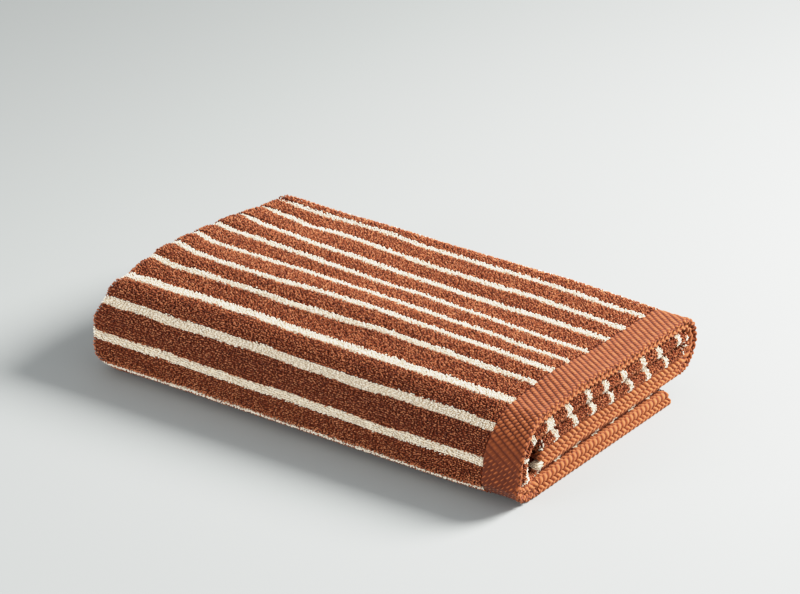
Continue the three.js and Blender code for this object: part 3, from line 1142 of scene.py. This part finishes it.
def surface_frame(u, v):
    """Place, outward normal and two directions in the cloth, at points on its outer face."""
    reach = GROUND_REACH + puff(u, v)
    here = folded(u, v, reach)
    along = folded(u + FRAME_STEP, v, reach) - folded(u - FRAME_STEP, v, reach)
    across = folded(u, v + FRAME_STEP, reach) - folded(u, v - FRAME_STEP, reach)
    along /= np.linalg.norm(along, axis=1, keepdims=True)
    normal = np.cross(along, across)
    normal /= np.linalg.norm(normal, axis=1, keepdims=True)
    return here, normal, along, np.cross(normal, along)


def loop_points(frames, rng, size=1.0):
    """The eight points of each loop, in one array."""
    here, normal, along, across = frames
    count = len(here)
    angle = rng.uniform(-LOOP_TURN, LOOP_TURN, count)[:, None]
    way = np.cos(angle) * along + np.sin(angle) * across
    side = np.cross(normal, way)
    span = size * LOOP_SPAN * rng.uniform(*SPAN_SPREAD, count)[:, None]
    height = LOOP_HEIGHT * rng.uniform(*HEIGHT_SPREAD, count)[:, None]
    radius = size * YARN_RADIUS * rng.uniform(*RADIUS_SPREAD, count)[:, None]
    lean = rng.normal(0, LOOP_LEAN, (count, 2))
    top = height * normal + lean[:, :1] * along + LEAN_ACROSS * lean[:, 1:] * across
    tilt = rng.normal(0, RING_TILT, count)[:, None] * normal
    first = here + top - RING_PLACE * span * way + tilt
    second = here + top + RING_PLACE * span * way - tilt
    points = [here - 0.5 * span * way - FOOT_DEPTH * normal]
    for ring in (first, second):
        for a in RING_ANGLES:
            points.append(ring + radius * (math.sin(a) * normal + math.cos(a) * side))
    points.append(here + 0.5 * span * way - FOOT_DEPTH * normal)
    return np.stack(points, 1).reshape(-1, 3)


print("triangles in a loop", len(LOOP_FACES))

# %% [markdown]
# The pile is laid region by region, because each region has its own spacing and stays a mesh of a
# fair size. The narrow walls of the two selvedges get rows of loops of their own. Most of what is
# pale is a stripe, and two small places are named apart: a strip inside the round front, and a
# tuft where the tucked selvedge cuts through a stripe.

# %% Where the pile lies
BULGE_REACH = 4.5
LOWER_OUTS = (-0.9, 0.0, 0.9)
TUCKED_OUTS = (-2.6, -1.5, -0.5, 0.5)
U_LOWER_SELVEDGE = (HEM_NOSE, CLOTH_LENGTH - HEM_NOSE)
U_TUCKED_SELVEDGE = (CROSS_STARTS[3] - 20.0, CROSS_STARTS[4] + 20.0)
U_END_TURN = (CROSS_STARTS[5] - 2.0, CROSS_STARTS[6])
U_TOP_PLY = (CROSS_STARTS[6], CLOTH_LENGTH - BAND_WIDTH + 0.6)
U_BULGE = (CROSS_STARTS[3] - BULGE_REACH, CROSS_STARTS[4] + BULGE_REACH)
TRACE_U = (CROSS_STARTS[3] + CROSS_STARTS[4]) / 2 + 2.0
TRACE_HALF = 1.7
TRACE_V = (V_FRONT + 12.0, V_FRONT + 28.0)
TUFT_TRIM = 1.2
TUFT_REACH = 1.5
V_UNDER_FRONT = V_FRONT - 2.0
V_TOP_MIDDLE = (V_TOP + V_BACK) / 2
V_WHOLE = (0.5, CLOTH_WIDTH - 0.5)
PILE = {
    "pile_front": (U_TOP_PLY, (V_UNDER_FRONT, V_TOP), LOOP_PITCH),
    "pile_top_near": (U_TOP_PLY, (V_TOP, V_TOP_MIDDLE), LOOP_PITCH),
    "pile_top_far": (U_TOP_PLY, (V_TOP_MIDDLE, V_BACK), LOOP_PITCH),
    "pile_back": (U_TOP_PLY, (V_BACK, V_TUCKED), COARSE_PITCH),
    "pile_folded_end": (U_END_TURN, V_WHOLE, END_PITCH),
    "pile_short_folds": (U_BULGE, V_WHOLE, LOOP_PITCH),
}


def inner_trace(u, v):
    """True on the pale strip that runs down the inside of the round front, along the short folds."""
    return (np.abs(u - TRACE_U) < TRACE_HALF) & (v > TRACE_V[0]) & (v < TRACE_V[1])


def edge_tuft(u, v):
    """True on the stripe that the tucked selvedge cuts through, where it goes round the short fold."""
    in_turn = (u > CROSS_STARTS[3] + TUFT_TRIM) & (u < CROSS_STARTS[4] - TUFT_TRIM)
    return in_turn & (v > CLOTH_WIDTH - TUFT_REACH)


print("pile regions", list(PILE))

# %% Laying the pile
STRIPE_FRAY = 0.10
SELVEDGE_IN = 0.3
SELVEDGE_LOOK = 1.2


def make_loops(name, is_cream, frames, rng, size=1.0):
    """The loops at these places, as a terracotta and a cream piece."""
    made = []
    kinds = (("terracotta", ~is_cream, TERRACOTTA_LOOPS), ("cream", is_cream, CREAM_LOOPS))
    for colour, chosen, material in kinds:
        loops = int(chosen.sum())
        if not loops:
            continue
        points = loop_points([axis[chosen] for axis in frames], rng, size)
        faces = (LOOP_FACES[None] + 8 * np.arange(loops)[:, None, None]).reshape(-1, 3)
        tone = np.repeat(rng.uniform(0, 1, loops), 8)
        # The map's second value is the height on the loop, which paints shade at the feet and light at the
        # tip.
        uv = np.stack([tone, np.tile(LOOP_HEIGHTS, loops)], -1)
        made.append(make_piece(f"{name}_{colour}", points, faces, material, f"{colour}_terry", cloth=uv))
    return made


def lay_pile(name, u_range, v_range, pitch, seed):
    """Loops over one stretch of the cloth."""
    rng = np.random.default_rng(seed)
    us, _ = measured(False, sum(v_range) / 2, GROUND_REACH + 1, *u_range, pitch)
    vs, _ = measured(True, sum(u_range) / 2, GROUND_REACH + 1, *v_range, pitch)
    rows, columns = np.meshgrid(np.arange(len(us) - 1), np.arange(len(vs) - 1), indexing="ij")
    rows = rows + 0.5 + rng.uniform(-JITTER_ALONG, JITTER_ALONG, rows.shape)
    columns = columns + 0.5 + rng.uniform(-JITTER_ACROSS, JITTER_ACROSS, columns.shape)
    u = np.interp(rows.ravel(), np.arange(len(us)), us)
    v = np.interp(columns.ravel(), np.arange(len(vs)), vs)
    off = off_stripe(u, v)[1]
    is_cream = (np.abs(off) < STRIPE_WIDTH / 2 + rng.normal(0, STRIPE_FRAY, len(u)))
    is_cream = is_cream | inner_trace(u, v) | edge_tuft(u, v)
    return make_loops(name, is_cream, surface_frame(u, v), rng, pitch / LOOP_PITCH)


def lay_selvedge(name, u_range, v_edge, inward, outs, seed):
    """Rows of loops over the narrow wall of a selvedge, each row this far out from its middle."""
    rng = np.random.default_rng(seed)
    count = int((u_range[1] - u_range[0]) / LOOP_PITCH)
    u = np.tile(np.linspace(*u_range, count), len(outs))
    u = u + rng.uniform(-JITTER_ALONG, JITTER_ALONG, u.shape)
    out = np.repeat(outs, count)
    v = v_edge + SELVEDGE_IN * inward
    here = folded(u, v, out)
    normal = folded(u, v_edge, out) - folded(u, v_edge + SELVEDGE_LOOK * inward, out)
    normal /= np.linalg.norm(normal, axis=1, keepdims=True)
    along = folded(u + FRAME_STEP, v, out) - folded(u - FRAME_STEP, v, out)
    along /= np.linalg.norm(along, axis=1, keepdims=True)
    is_cream = edge_tuft(u, v) & (out > 0)
    return make_loops(name, is_cream, (here, normal, along, np.cross(normal, along)), rng)


pile = []
for seed, (name, region) in enumerate(PILE.items()):
    pile += lay_pile(name, *region, seed + 1)
pile += lay_selvedge("selvedge_lower", U_LOWER_SELVEDGE, 0.0, 1, LOWER_OUTS, len(PILE) + 1)
pile += lay_selvedge("selvedge_tucked", U_TUCKED_SELVEDGE, CLOTH_WIDTH, -1, TUCKED_OUTS, len(PILE) + 2)
print("pile pieces", len(pile))

# %% [markdown]
# Last, the view layer is brought up to date.

# %% Update the view layer
bpy.context.view_layer.update()
